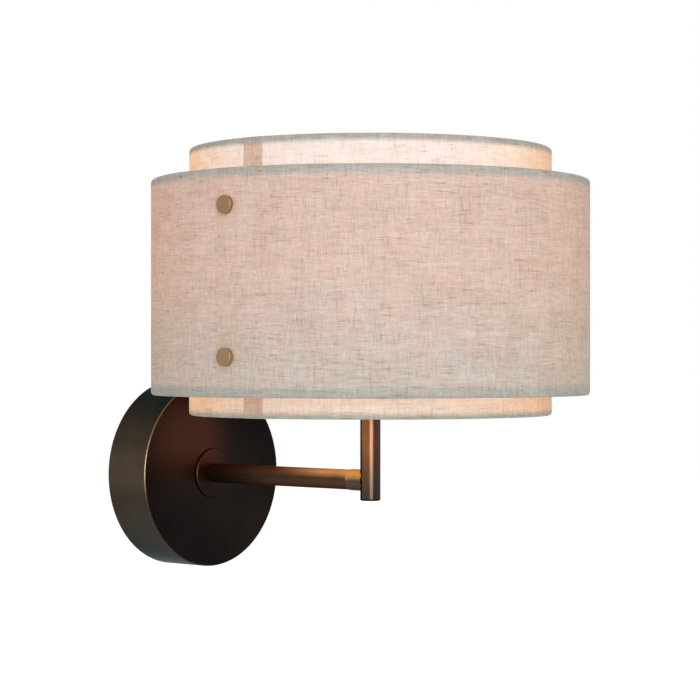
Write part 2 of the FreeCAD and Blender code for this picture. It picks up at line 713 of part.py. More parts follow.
def make_spider():
    """Fitter ring on the lampholder's shoulder, and arms from it to the inner shade's bottom hoop."""
    fitter = ring("shade_fitter", "holder_radius + turn_gap", "fitter_radius", FITTER_LOW, FITTER_HIGH)
    place(fitter, y="-reach")
    wire = size("spider_wire")
    start = Vector(size("fitter_radius + snug"), 0, size(FITTER_HIGH) - wire)
    knee = Vector(size("spider_knee"), 0, start.z)
    hoop_radius = size("inner_radius - laminate - snug - hoop_wire")
    hoop_top = size("inner_bottom + linen + snug + 2 * hoop_wire")
    slope = math.atan2(knee.z - wire - hoop_top, hoop_radius - knee.x)
    end = Vector(hoop_radius, 0, hoop_top + size("snug") + wire / math.cos(slope))
    arm = rod([start, knee, end], [size("spider_bend")], wire)
    count = int(size("spider_arms"))
    for k in range(count):
        angle = size("spider_first_angle") + 360 * k / count
        place(feature(f"spider_arm_{k + 1}", arm.copy()), Rotation(UP, angle), y="-reach")


def make_standoffs():
    """Knobs on long screws, spacers and nuts that hold the outer shade off the inner one at both sides."""
    for side, turn, lap in (("left", 0, "linen"), ("right", 180, "0")):
        angle = math.radians(size("seam_angle") + turn)
        outward = Rotation(UP, Vector(math.cos(angle), math.sin(angle), 0))
        seat = f"(outer_radius + {lap} + snug)"
        face = f"({seat} + knob_thick)"
        nut_outer = "(inner_radius - laminate - drum_gap)"
        nut_inner = f"({nut_outer} - shade_nut_thick)"
        hole = "(shade_screw_radius + snug)"
        for height, level in KNOB_LEVELS.items():
            knob = turned(f"knob_{side}_{height}", [
                ("0", nut_inner), ("shade_screw_radius", nut_inner), ("shade_screw_radius", seat),
                ("knob_radius", seat), ("knob_radius", face), ("0", face)])
            ease_edges(knob, "Fillet", "knob_round", [("knob_radius", face)])
            spacer = ring(f"spacer_{side}_{height}", hole, "spacer_radius", f"inner_radius + {lap} + snug",
                          "outer_radius - laminate - drum_gap")
            nut = ring(f"shade_nut_{side}_{height}", hole, "shade_nut_radius", nut_inner, nut_outer)
            for piece in (knob, spacer, nut):
                place(piece, outward, y="-reach", z=level)


# ---------------------------------------------------------------- wires

# The earth wire's loop, in shares of the room between the bracket and the earth tag.
EARTH_ROOM = f"({TAG_FACE} - strap_thick - wire_radius - snug)"
EARTH_SHARES = {"lead": 2 / 7, "loop": 2 / 7, "run": 1 / 3, "wide_bend": 3 / 8, "end_bend": 3 / 16}


def make_wires():
    """Live and neutral wires from the block through both tubes to the lampholder, and the earth wire."""
    bend = size("wire_bend")
    slack = 2 * bend
    radius = size("wire_radius")
    post_y = -size("reach")
    pole_y = -size(f"{BLOCK_FLOOR} + pole_height")
    for label, side in (("live_wire", -1), ("neutral_wire", 1)):
        pole_x = side * size("pole_pitch") / 2
        lane_x = side * size("wire_spread")
        hole_x = side * size("contact_hole_x")
        feature(label, rod([
            Vector(pole_x, pole_y, -size("block_drop")),
            Vector(pole_x, pole_y, size("block_length / 2 + wire_rise - block_drop")),
            Vector(lane_x, -size(f"{NUT_FACE} - nipple_end - wire_lead"), 0),
            Vector(lane_x, post_y, 0),
            Vector(lane_x, post_y, size("post_top + hub_height + wire_exit")),
            Vector(hole_x, post_y, size(f"{CAP_TOP} - carrier_thick - wire_entry")),
            Vector(hole_x, post_y, size(CAP_TOP))], [slack, slack, bend, bend, bend], radius))
    lead, loop, run, wide_bend, end_bend = (size(EARTH_ROOM) * share for share in EARTH_SHARES.values())
    tag_y = -size(TAG_FACE)
    tag_z = size("tag_reach - tag_width / 2")
    strap_y = -size("strap_thick + wire_radius + snug")
    screw_z = size("earth_screw_up")
    head_x = size("earth_screw_x - earth_head_radius - snug")
    feature("earth_wire", rod([
        Vector(0, tag_y, tag_z),
        Vector(0, tag_y + lead, tag_z),
        Vector(-loop, strap_y - run, (tag_z + screw_z) / 2),
        Vector(head_x - run, strap_y, screw_z),
        Vector(head_x, strap_y, screw_z)], [wide_bend, wide_bend, end_bend], radius))


# ---------------------------------------------------------------- build, check and write

make_bracket()
make_rose()
make_rose_screws()
make_earth_screw()
make_terminal_block()
make_arm()
make_post()
make_holder()
make_contacts()
make_shade_ring()
make_bulb()
make_shade("inner", "inner_radius", "inner_bottom", "inner_height", "inner_top_hem", "inner_bottom_hem")
make_shade("outer", "outer_radius", "outer_bottom", "outer_height", "outer_hem", "outer_hem")
make_spider()
make_standoffs()
make_wires()
doc.recompute()

for thing in doc.Objects:
    if {"Invalid", "Error"} & set(thing.State):
        raise RuntimeError(f"{thing.Label} failed: {thing.State}")
for label, thing in nodes.items():
    if thing.Shape.isNull() or not thing.Shape.isValid() or not thing.Shape.Solids:
        raise RuntimeError(f"{label} has no valid solid")
os.makedirs("parts", exist_ok=True)
for label, thing in nodes.items():
    thing.Shape.exportStep(os.path.join("parts", label + ".step"))
    box = thing.Shape.BoundBox
    print(f"{label}: {len(thing.Shape.Solids)} solid, {thing.Shape.Volume:.1f} mm3, "
          f"{box.XLength:.1f} x {box.YLength:.1f} x {box.ZLength:.1f}")
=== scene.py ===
# The finish of a fabric shade wall light: two lit linen drums on a bronze arm and a round wall rose.
#
# Metres, in the frame of the solids: X to the right, Y into the wall, Z up. Turned pieces are drawn about
# their own Z, and are then set upright on the shades' axis or laid along the arm with their Z out of the
# wall.

import json
import math

import bmesh
import bpy
from mathutils import Matrix, Vector


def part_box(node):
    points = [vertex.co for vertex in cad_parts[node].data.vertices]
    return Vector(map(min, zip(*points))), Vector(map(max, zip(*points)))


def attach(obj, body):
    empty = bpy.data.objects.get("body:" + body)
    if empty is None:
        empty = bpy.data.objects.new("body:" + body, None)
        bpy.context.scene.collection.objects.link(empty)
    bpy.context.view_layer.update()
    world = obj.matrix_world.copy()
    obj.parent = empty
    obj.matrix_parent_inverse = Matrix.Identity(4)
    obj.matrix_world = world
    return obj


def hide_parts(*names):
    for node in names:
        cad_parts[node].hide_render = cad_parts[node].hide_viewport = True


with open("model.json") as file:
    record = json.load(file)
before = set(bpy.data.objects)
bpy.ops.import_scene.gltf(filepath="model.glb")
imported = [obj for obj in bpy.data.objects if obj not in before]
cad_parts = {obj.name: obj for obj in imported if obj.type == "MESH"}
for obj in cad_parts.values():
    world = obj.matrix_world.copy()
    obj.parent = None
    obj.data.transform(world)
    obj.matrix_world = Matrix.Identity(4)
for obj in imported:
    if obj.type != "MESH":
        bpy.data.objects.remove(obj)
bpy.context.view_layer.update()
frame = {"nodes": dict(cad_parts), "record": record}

MM = 0.001

# ---------------------------------------------------------------- places, read from the solids

outer_low, outer_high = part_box("outer_drum")
inner_low, inner_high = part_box("inner_drum")
rose_low, rose_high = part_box("rose_cover")
arm_low, arm_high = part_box("arm_tube")
post_low, post_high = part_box("post_tube")

AXIS_Y = (outer_low.y + outer_high.y) / 2
OUTER_RADIUS = (outer_high.y - outer_low.y) / 2
INNER_RADIUS = (inner_high.y - inner_low.y) / 2
ROSE_RADIUS = rose_high.z
TUBE_RADIUS = (post_high.x - post_low.x) / 2

UPRIGHT = Matrix.Translation((0, AXIS_Y, 0))
OUT_OF_WALL = Matrix.Rotation(math.pi / 2, 4, "X")

# Linen, the stiff backing that it is bonded to, and how far the backing stops short of the hems' turn.
LINEN = 0.6 * MM
BACKING = 1.0 * MM
BACKING_GAP = 0.2 * MM

# The cut of a shade: the lap at its seam, the step that the lap makes and the length over which it runs out,
# the round of the hems over the hoops, and the hems' depths at the bottom and the top.
LAP = 16.4 * MM
LAP_STEP = 0.12 * MM
LAP_EASE = 3.0 * MM
SEAM_ANGLE = math.radians(184.0)
HEM_ROLL = 2.35 * MM
OUTER_HEMS = (6.0 * MM, 6.0 * MM)
INNER_HEMS = (3.6 * MM, 6.5 * MM)

# The grid of a cut: its columns, with a narrow one at each free edge, and its rows on the face and on a roll.
SHEET_COLUMNS = 256
FREE_EDGE = 0.25 * MM
FACE_ROWS = 12
ROLL_ROWS = 8

# Wall of the arm and the post, and half the port where the wires pass from one into the other.
TUBE_WALL = 1.0 * MM
PORT = 2.2 * MM

# Steps of a full turn.
TUBE_STEPS = 96
DRUM_STEPS = 192


# ---------------------------------------------------------------- making pieces


def turned(points, steps):
    """A ring turned about Z from its outline of (radius, height) points."""
    bm = bmesh.new()
    corners = [bm.verts.new((radius, 0, height)) for radius, height in points]
    edges = [bm.edges.new(pair) for pair in zip(corners, corners[1:] + corners[:1])]
    bmesh.ops.spin(bm, geom=corners + edges, cent=(0, 0, 0), axis=(0, 0, 1), angle=2 * math.pi,
                   steps=steps, use_merge=True)
    bmesh.ops.recalc_face_normals(bm, faces=bm.faces)
    return bm


def scene_object(name, data):
    """A new object in the scene."""
    made = bpy.data.objects.new(name, data)
    bpy.context.scene.collection.objects.link(made)
    return made


def mesh_object(name, bm, material):
    """A new object of the finished mesh."""
    mesh = bpy.data.meshes.new(name)
    bm.to_mesh(mesh)
    bm.free()
    mesh.materials.append(material)
    return scene_object(name, mesh)


def piece(name, bm, material, body, replaced, place=Matrix.Identity(4), sharp=30):
    """The finished mesh, put in its place, as a named piece that stands for a solid of its body."""
    bmesh.ops.transform(bm, matrix=place, verts=bm.verts)
    made = mesh_object(name, bm, material)
    made.data.shade_smooth()
    made.data.set_sharp_from_angle(angle=math.radians(sharp))
    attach(made, body)
    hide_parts(replaced)
    return made


# ---------------------------------------------------------------- shader sums


class Link:
    """A shader output that stands in Python sums; each operator adds its own node."""

    def __init__(self, finish, socket):
        self.finish = finish
        self.socket = socket

    def sum(self, operation, *terms):
        """One sum on links or numbers."""
        return self.finish.node("ShaderNodeMath", {"operation": operation}, dict(enumerate(terms)))["Value"]

    def __add__(self, other):
        return self.sum("ADD", self, other)

    def __sub__(self, other):
        return self.sum("SUBTRACT", self, other)

    def __rsub__(self, other):
        return self.sum("SUBTRACT", other, self)

    def __mul__(self, other):
        return self.sum("MULTIPLY", self, other)

    def __truediv__(self, other):
        return self.sum("DIVIDE", self, other)

    def __pow__(self, other):
        return self.sum("POWER", self, other)

    __radd__ = __add__
    __rmul__ = __mul__

    def floor(self):
        return self.sum("FLOOR", self)

    def sine(self):
        return self.sum("SINE", self)

    def least(self, other):
        return self.sum("MINIMUM", self, other)

    def most(self, other):
        return self.sum("MAXIMUM", self, other)

    def distance(self, other):
        """The distance from the middle of a point with these two coordinates."""
        return (self * self + other * other) ** 0.5

    def rise(self, start, end, low=0.0, high=1.0):
        """Goes smoothly from low to high as this goes from start to end."""
        return self.finish.node("ShaderNodeMapRange", {"interpolation_type": "SMOOTHSTEP"}, {
            "Value": self, "From Min": start, "From Max": end, "To Min": low, "To Max": high})["Result"]


class Node:
    """A shader node whose outputs are read by name or by number."""

    def __init__(self, finish, node):
        self.finish = finish
        self.node = node

    def __getitem__(self, name):
        return Link(self.finish, self.node.outputs[name])


class Finish:
    """The shader nodes of a material, or of the world, under construction."""

    def __init__(self, owner):
        self.owner = owner
        owner.use_nodes = True
        self.tree = owner.node_tree
        self.tree.nodes.clear()

    def node(self, kind, settings=None, sockets=None):
        """Any node: its settings are set first, then the values or links of its sockets."""
        made = self.tree.nodes.new(kind)
        for key, value in (settings or {}).items():
            setattr(made, key, value)
        for key, value in (sockets or {}).items():
            socket = made.inputs[key]
            if isinstance(value, Link):
                self.tree.links.new(value.socket, socket)
            elif socket.type == "RGBA" and len(value) == 3:
                socket.default_value = (*value, 1.0)
            else:
                socket.default_value = value
        return Node(self, made)

    def blend(self, factor, first, second):
        """One colour going over into another."""
        return self.node("ShaderNodeMix", {"data_type": "RGBA"}, {0: factor, 6: first, 7: second})[2]

    def tint(self, colour, value):
        """A colour made lighter or darker by a value."""
        return self.node("ShaderNodeVectorMath", {"operation": "SCALE"}, {
            0: colour, "Scale": value})["Vector"]

    def times(self, first, second):
        """Two colours multiplied."""
        return self.node("ShaderNodeVectorMath", {"operation": "MULTIPLY"}, {0: first, 1: second})["Vector"]

    def plus(self, first, second):
        """Two colours added."""
        return self.node("ShaderNodeVectorMath", {"operation": "ADD"}, {0: first, 1: second})["Vector"]

    def place(self, centre=(0, 0, 0), stretch=(1, 1, 1)):
        """Object coordinates in metres about a centre, stretched for a pattern."""
        where = self.node("ShaderNodeTexCoord")["Object"]
        where = self.node("ShaderNodeVectorMath", {"operation": "SUBTRACT"}, {0: where, 1: centre})["Vector"]
        return self.times(where, stretch)

    def parts(self, vector):
        """The X, Y and Z of a vector."""
        split = self.node("ShaderNodeSeparateXYZ", None, {"Vector": vector})
        return split["X"], split["Y"], split["Z"]

    def vector(self, x, y, z=0.0):
        """A vector from its three numbers."""
        return self.node("ShaderNodeCombineXYZ", None, {"X": x, "Y": y, "Z": z})["Vector"]

    def noise(self, where, scale, detail=2.0):
        """Soft noise about 0.5, with about this many waves to a metre."""
        return self.node("ShaderNodeTexNoise", None, {
            "Vector": where, "Scale": scale, "Detail": detail})["Fac"]

    def bump(self, height, distance, strength):
        """A relief that rises by this distance in metres as the height goes from 0 to 1."""
        return self.node("ShaderNodeBump", None, {
            "Height": height, "Distance": distance, "Strength": strength})["Normal"]

    def surface(self, **sockets):
        """Ends the material in a Principled shader; socket names are written with underscores."""
        shader = self.node("ShaderNodeBsdfPrincipled", None, {
            key.replace("_", " "): value for key, value in sockets.items()})["BSDF"]
        self.node("ShaderNodeOutputMaterial", None, {"Surface": shader})
        return self.owner


# ---------------------------------------------------------------- linen finishes

# Pitch of the fine threads and of the uneven ones, and how far a thread wanders over its length.
THREAD = 0.5 * MM
THICK_THREAD = 0.8 * MM
THREAD_DRIFT = 3.0 * MM

# Two tones that the cloth goes between, and how strongly each colour varies from thread to thread.
LINEN_COLOUR = (0.49, 0.485, 0.425)
LINEN_WARM = (0.515, 0.465, 0.405)
CONTRAST = (0.96, 1.15, 1.38)

# The glow: the way that its palest side faces, in X and Y; where it fades along X, in shares of the radius,
# and to what share; and how softly the lap's shadow starts and ends, inside and outside the lap.
PALE_SIDE = (-0.788, -0.616)
FADE_START, FADE_END, FADE_LEVEL = 0.05, 0.75, 0.6
LAP_BLUR_IN = 1.2 * MM
LAP_BLUR_OUT = 0.6 * MM


def linen(name, radius, height, lit, pale_glow, warm_glow, low_tint, seam_glow):
    """Slub linen lit from behind, palest on one side; its UV map holds metres along and up the cut.

    lit holds how far in from the bottom and from the top edge the light comes up, from dark to full.
    low_tint is the light's change of colour at the bottom and seam_glow its colour where the cut laps.
    """
    cloth = Finish(bpy.data.materials.new(name))
    along, up, _ = cloth.parts(cloth.node("ShaderNodeUVMap", {"uv_map": "cut"})["UV"])
    drift = (cloth.noise(cloth.vector(along, up), 30.0, 1.0) - 0.5) * THREAD_DRIFT

    def threads(run, across, pitch, lengths, seed):
        """A value that goes thick and thin along each single thread."""
        line = ((across + drift) / pitch).floor()
        return cloth.noise(cloth.vector(run * lengths, line * 3.71 + seed), 1.0, 2.0)

    weft = threads(along, up, THICK_THREAD, 75.0, 0.0)
    warp = threads(up, along, THICK_THREAD, 95.0, 40.0)
    fine_weft = threads(along, up, THREAD, 260.0, 80.0)
    fine_warp = threads(up, along, THREAD, 260.0, 120.0)
    bands = cloth.noise(cloth.vector(along * 14.0, up * 240.0), 1.0, 2.0)
    stripes = cloth.noise(cloth.vector(along * 200.0, up * 14.0, 5.0), 1.0, 2.0)
    slubs = (weft.rise(0.62, 0.74) + 0.7 * warp.rise(0.62, 0.74)).least(1.0)
    cloud = cloth.noise(cloth.vector(along, up * 1.5), 38.0, 3.0)
    patches = cloth.noise(cloth.vector(along, up * 1.3, 7.0), 60.0, 2.0)
    weave = (along * (2 * math.pi / THREAD)).sine() * (up * (2 * math.pi / THREAD)).sine()

    tone = 2.10 - 0.62 * weft - 0.48 * warp - 0.36 * fine_weft - 0.30 * fine_warp
    tone = tone - 0.22 * bands - 0.16 * stripes - 0.17 * slubs
    base_tone = tone + 0.18 * (cloud - 0.5)
    colour = cloth.times(cloth.blend(patches.rise(0.35, 0.65), LINEN_COLOUR, LINEN_WARM),
                         cloth.plus(cloth.tint(CONTRAST, base_tone - 1.0), (1, 1, 1)))

    across, out, _ = cloth.parts(cloth.place((0, AXIS_Y, 0)))
    facing = (across * (PALE_SIDE[0] / radius) + out * (PALE_SIDE[1] / radius)).rise(0.25, 0.95)
    length = 2 * math.pi * radius + LAP
    lap = along.rise(LAP - LAP_BLUR_IN, LAP + LAP_BLUR_OUT, 1.0, 0.0) + along.rise(
        length - LAP - LAP_BLUR_OUT, length - LAP + LAP_BLUR_IN)
    glow = cloth.blend(facing, warm_glow, pale_glow)
    glow = cloth.blend(lap.least(1.0), glow, seam_glow)
    glow = cloth.blend(up.rise(0.04 * height, 0.62 * height), cloth.times(glow, low_tint), glow)
    (low_dark, low_full), (top_dark, top_full) = lit
    hem_shade = up.rise(low_dark, low_full) * up.rise(height - top_full, height - top_dark, 1.0, 0.0)
    dim_side = across.rise(FADE_START * radius, FADE_END * radius, 1.0, FADE_LEVEL)
    light = cloth.tint(glow, hem_shade * dim_side * (0.8 + 0.2 * tone) * (1.0 + 0.3 * (cloud - 0.5)))
    relief = 0.35 * weave + 0.9 * (1.0 - tone) + 0.5 * slubs
    return cloth.surface(
        Base_Color=colour, Roughness=0.92, Specular_IOR_Level=0.06, Sheen_Weight=0.1,
        Sheen_Roughness=0.6, Emission_Color=light, Emission_Strength=1.0,
        Normal=cloth.bump(relief, 0.08 * MM, 0.7))


def laminate(name, glow):
    """The smooth white backing that the linen is bonded to, lit by the bulb."""
    film = Finish(bpy.data.materials.new(name))
    where = film.place((0, AXIS_Y, 0))
    mottle = film.noise(where, 180.0, 3.0)
    weave = film.noise(where, 900.0, 1.0)
    colour = film.blend(mottle, (0.80, 0.78, 0.74), (0.86, 0.85, 0.82))
    return film.surface(Base_Color=colour, Roughness=0.45, Emission_Color=film.tint(glow, 0.9 + 0.2 * mottle),
                        Emission_Strength=1.0, Normal=film.bump(weave, 0.05 * MM, 0.4))


# ---------------------------------------------------------------- metal, plastic and glass finishes

# The bronzes' change of colour where they are seen at a grazing angle.
EDGE_TINT = (0.34, 0.33, 0.33, 1.0)
ROSE_EDGE_TINT = (0.44, 0.51, 0.53, 1.0)


def bronze(name, dark, light, rough, coat=0.0, centre=(0, 0, 0), grain=(1, 1, 1), relief=0.02 * MM,
           metal=1.0, fades=()):
    """Lacquered bronze with a fine grain, cloudy in tone; the grain's stretch follows how it was turned.

    Each fade holds an axis, where on it the painted shade is whole and where it ends, and the painted shade's
    tint.
    """
    metalwork = Finish(bpy.data.materials.new(name))
    lines = metalwork.noise(metalwork.place(centre, grain), 900.0, 2.0)
    cloud = metalwork.noise(metalwork.place(centre), 38.0, 4.0)
    specks = metalwork.noise(metalwork.place(centre), 1400.0, 1.0).rise(0.62, 0.78)
    tone = (0.65 * cloud + 0.35 * lines).rise(0.3, 0.72)
    colour = metalwork.tint(metalwork.blend(tone, dark, light), 1.0 - 0.35 * specks)
    # Each fade darkens the colour as painted shade along one axis.
    for axis, start, end, painted_shade_tint in fades:
        place = metalwork.parts(metalwork.place())[axis] + (2 * MM) * (cloud - 0.5)
        colour = metalwork.blend(place.rise(start, end), metalwork.times(colour, painted_shade_tint), colour)
    gloss = rough - 0.06 + 0.12 * lines + 0.08 * specks
    return metalwork.surface(
        Base_Color=colour, Metallic=metal, Roughness=gloss, Specular_Tint=EDGE_TINT, Coat_Weight=coat,
        Coat_Roughness=0.18, Coat_IOR=1.7, Normal=metalwork.bump(lines + 0.5 * specks, relief, 0.5))


def plated(name, dark, light, rough):
    """Plated or bare metal with a cloudy sheen and fine marks."""
    metalwork = Finish(bpy.data.materials.new(name))
    cloud = metalwork.noise(metalwork.place(), 260.0, 3.0)
    marks = metalwork.noise(metalwork.place(stretch=(1, 1, 9)), 1200.0, 1.0)
    return metalwork.surface(
        Base_Color=metalwork.blend(cloud, dark, light), Metallic=1.0, Roughness=rough + 0.12 * marks,
        Normal=metalwork.bump(marks, 0.015 * MM, 0.4))


def moulded(name, dark, light, rough):
    """Moulded plastic or enamel: nearly even, with a faint mottle and an orange-peel surface."""
    shell = Finish(bpy.data.materials.new(name))
    where = shell.place()
    mottle = shell.noise(where, 120.0, 2.0)
    peel = shell.noise(where, 1500.0, 1.0)
    return shell.surface(
        Base_Color=shell.blend(mottle, dark, light), Roughness=rough + 0.08 * peel,
        Normal=shell.bump(peel, 0.02 * MM, 0.35))


# Heights at which the bulb's neck ends and its globe is fully lit.
NECK_END = 100 * MM
GLOBE_START = 130 * MM


def lit_glass(name):
    """Opal glass lit from inside, dimmer at its neck."""
    glass = Finish(bpy.data.materials.new(name))
    _, _, height = glass.parts(glass.place())
    body = height.rise(NECK_END, GLOBE_START, 0.35, 1.0)
    mottle = glass.noise(glass.place(), 60.0, 2.0)
    glow = glass.tint((1.0, 0.83, 0.62), body * (0.96 + 0.08 * mottle))
    return glass.surface(Base_Color=(0.60, 0.58, 0.54), Roughness=0.25, Emission_Color=glow,
                         Emission_Strength=0.5)


# The rose's round edge, the middle of the painted reflection of the lit shades on its face (across and up),
# and the height and reach of the band of painted light round its side.
ROSE_ROUND = 1.0 * MM
GLOW_REFLECTION_MIDDLE = (-24 * MM, 26 * MM)
SIDE_LIGHT_HEIGHT = 5 * MM
SIDE_LIGHT_REACH = 20 * MM


def rose_patina_and_painted_light(name):
    """Dark patinated bronze, olive round its side, its front edge brightened by wear, with painted light and
    shade.
    """
    metalwork = Finish(bpy.data.materials.new(name))
    across, out, up = metalwork.parts(metalwork.place())
    lines = metalwork.noise(metalwork.place(stretch=(1, 0.1, 1)), 900.0, 2.0)
    cloud = metalwork.noise(metalwork.place(), 24.0, 3.0)
    tone = (0.7 * cloud + 0.3 * lines).rise(0.3, 0.72)

    # The face is darkened towards the lower left and the upper right as painted shade.
    low_left_painted_shade = (0.6 * across + up).rise(-66 * MM, -18 * MM, 0.6, 1.0)
    top_right_painted_shade = (across + up).rise(16 * MM, 80 * MM, 1.0, 0.6)
    face = metalwork.blend(tone, (0.0142, 0.0098, 0.0090), (0.0205, 0.0142, 0.0128))
    face = metalwork.tint(face, low_left_painted_shade * top_right_painted_shade)
    # A warm patch on the face is a painted reflection of the lit shades above.
    off_patch = (across - GLOW_REFLECTION_MIDDLE[0]).distance(up - GLOW_REFLECTION_MIDDLE[1]) + (20 * MM) * (cloud - 0.5)
    painted_glow_reflection = off_patch.rise(12 * MM, 50 * MM, 1.0, 0.0) * up.rise(-15 * MM, 2 * MM)
    face = metalwork.blend(0.76 * painted_glow_reflection, face, (0.076, 0.0265, 0.0140))

    # Round the side, a band of painted light at about this height and painted shade towards the top under the
    # shades; the side is cooler in tint towards the bottom.
    off_band = up - SIDE_LIGHT_HEIGHT
    band = (off_band * off_band).rise(0.0, SIDE_LIGHT_REACH ** 2, 1.0, 0.0)
    side_painted_light = up.rise(64 * MM, 20 * MM, 0.5, 1.6) + 0.75 * band
    olive = metalwork.blend(tone, (0.025, 0.018, 0.0120), (0.036, 0.027, 0.0175))
    low_tint = metalwork.blend(up.rise(-48 * MM, -10 * MM), (0.98, 1.08, 1.38), (1, 1, 1))
    side = metalwork.tint(metalwork.times(olive, low_tint), side_painted_light)

    from_middle = across.distance(up)
    edge = ROSE_RADIUS - ROSE_ROUND
    on_side = from_middle.rise(edge, ROSE_RADIUS - 0.2 * ROSE_ROUND)
    in_front = out.rise(rose_low.y + 0.5 * ROSE_ROUND, rose_low.y + ROSE_ROUND, 1.0, 0.0)
    # The front edge is brightened by wear only over the height where the highlight falls, so it is partly
    # wear and partly a painted highlight.
    rubbed_edge_and_highlight = from_middle.rise(edge, ROSE_RADIUS - 0.5 * ROSE_ROUND) * in_front * up.rise(-22 * MM, 4 * MM)
    colour = metalwork.blend(on_side, face, side)
    colour = metalwork.blend(rubbed_edge_and_highlight * (0.6 + 0.4 * lines), colour, (0.24, 0.18, 0.09))
    return metalwork.surface(
        Base_Color=colour, Metallic=1.0, Roughness=0.34 + 0.12 * lines - 0.10 * rubbed_edge_and_highlight,
        Specular_Tint=ROSE_EDGE_TINT, Normal=metalwork.bump(lines, 0.02 * MM, 0.5))


def arm_with_painted_light(name):
    """Bronze with painted light along its top towards the post, and painted shade below it and towards the
    rose.
    """
    metalwork = Finish(bpy.data.materials.new(name))
    _, out, up = metalwork.parts(metalwork.place())
    lines = metalwork.noise(metalwork.place(stretch=(1, 0.08, 1)), 900.0, 2.0)
    cloud = metalwork.noise(metalwork.place(), 38.0, 4.0)
    tone = (0.65 * cloud + 0.35 * lines).rise(0.3, 0.72, 0.86, 1.14)
    # Colours of the painted light by the post and of the painted shade by the rose and below.
    shaded_by_rose, lit_by_post, shaded_underside = (0.15, 0.058, 0.038), (0.74, 0.370, 0.150), (0.066, 0.036, 0.022)
    top = metalwork.blend(out.rise(-95 * MM, -165 * MM), shaded_by_rose, lit_by_post)
    # The top half takes the painted light and the lower half the painted shade.
    bright = (up + (1.5 * MM) * (cloud - 0.5)).rise(0.5 * MM, 5.5 * MM)
    colour = metalwork.tint(metalwork.blend(bright, shaded_underside, top), tone)
    return metalwork.surface(
        Base_Color=colour, Metallic=1.0, Roughness=0.36 + 0.12 * lines, Specular_Tint=EDGE_TINT,
        Normal=metalwork.bump(lines, 0.02 * MM, 0.5))


# Painted shade on the post's far side and towards its foot, and under the ferrule.
POST_SIDE_PAINTED_SHADE = (0, -3.2 * MM, -6.5 * MM, (0.30, 0.24, 0.28))
POST_FOOT_PAINTED_SHADE = (2, -14 * MM, 34 * MM, (0.16, 0.20, 0.30))
FERRULE_PAINTED_SHADE = (2, -0.5 * MM, 4.0 * MM, (0.085, 0.115, 0.32))

rose_bronze = rose_patina_and_painted_light("rose_bronze")
# The tubes' bronze; its fades are painted shade on the post's far side and towards its foot.
tube_bronze = bronze("tube_bronze", (0.20, 0.070, 0.016), (0.28, 0.098, 0.024), 0.30, 0.3,
                     centre=(0, AXIS_Y, 0), grain=(1, 1, 0.08), relief=0.005 * MM,
                     fades=(POST_SIDE_PAINTED_SHADE, POST_FOOT_PAINTED_SHADE))
arm_bronze = arm_with_painted_light("arm_bronze")
foot_bronze = bronze("foot_bronze", (0.012, 0.0075, 0.005), (0.02, 0.0125, 0.008), 0.36)
# The ferrule is a brighter bronze, made brighter still as painted light from the bulb above, with painted
# shade under it.
ferrule_bronze_painted_light = bronze("ferrule_bronze_painted_light", (0.70, 0.340, 0.085), (0.86, 0.420, 0.115), 0.32, 0.1,
                        grain=(1, 0.3, 1), fades=(FERRULE_PAINTED_SHADE,))
knob_bronze = bronze("knob_bronze", (0.29, 0.175, 0.085), (0.37, 0.23, 0.12), 0.45, metal=0.4)

# The finish of each slot, and of the pieces whose own colouring differs from their slot's; the rose's and the
# collar's hold painted light and shade.
FINISHES = {
    "bronze": tube_bronze,
    "bright_bronze": ferrule_bronze_painted_light,
    "knob_bronze": knob_bronze,
    "zinc_steel": plated("zinc_steel", (0.50, 0.50, 0.48), (0.66, 0.66, 0.64), 0.3),
    "brass": plated("brass", (0.62, 0.45, 0.20), (0.76, 0.60, 0.31), 0.25),
    "black_plastic": moulded("black_phenolic", (0.018, 0.018, 0.018), (0.03, 0.03, 0.029), 0.35),
    "white_plastic": moulded("white_plastic", (0.80, 0.78, 0.73), (0.86, 0.85, 0.81), 0.4),
    "white_enamel": moulded("white_enamel", (0.80, 0.79, 0.76), (0.86, 0.85, 0.82), 0.35),
    "live_insulation": moulded("brown_insulation", (0.20, 0.09, 0.04), (0.26, 0.12, 0.055), 0.4),
    "neutral_insulation": moulded("blue_insulation", (0.05, 0.15, 0.45), (0.08, 0.2, 0.55), 0.4),
    "earth_insulation": moulded("green_insulation", (0.18, 0.42, 0.08), (0.25, 0.5, 0.12), 0.4),
    "bulb_metal": plated("bulb_metal", (0.66, 0.65, 0.62), (0.8, 0.79, 0.76), 0.28),
    "opal_glass": lit_glass("opal_glass"),
}
OWN_FINISH = {
    "rose_cover": rose_bronze,
    "arm_collar": rose_bronze,
    "post_foot_cap": foot_bronze,
}

# ---------------------------------------------------------------- linen shades


def hem_line(up, height):
    """Inset, height and outward normal of the linen's face this far up the cut, with its hems rolled in."""
    if up > height / 2:
        inset, level, outward, rise = hem_line(height - up, height)
        return inset, height - level, outward, -rise
    past = max(HEM_ROLL - up, 0.0)
    turn = min(past / HEM_ROLL, math.pi)
    flap = max(past - math.pi * HEM_ROLL, 0.0)
    level = HEM_ROLL * (1 - math.sin(turn)) + flap if past else up
    return HEM_ROLL * (1 - math.cos(turn)), level, math.cos(turn), -math.sin(turn)


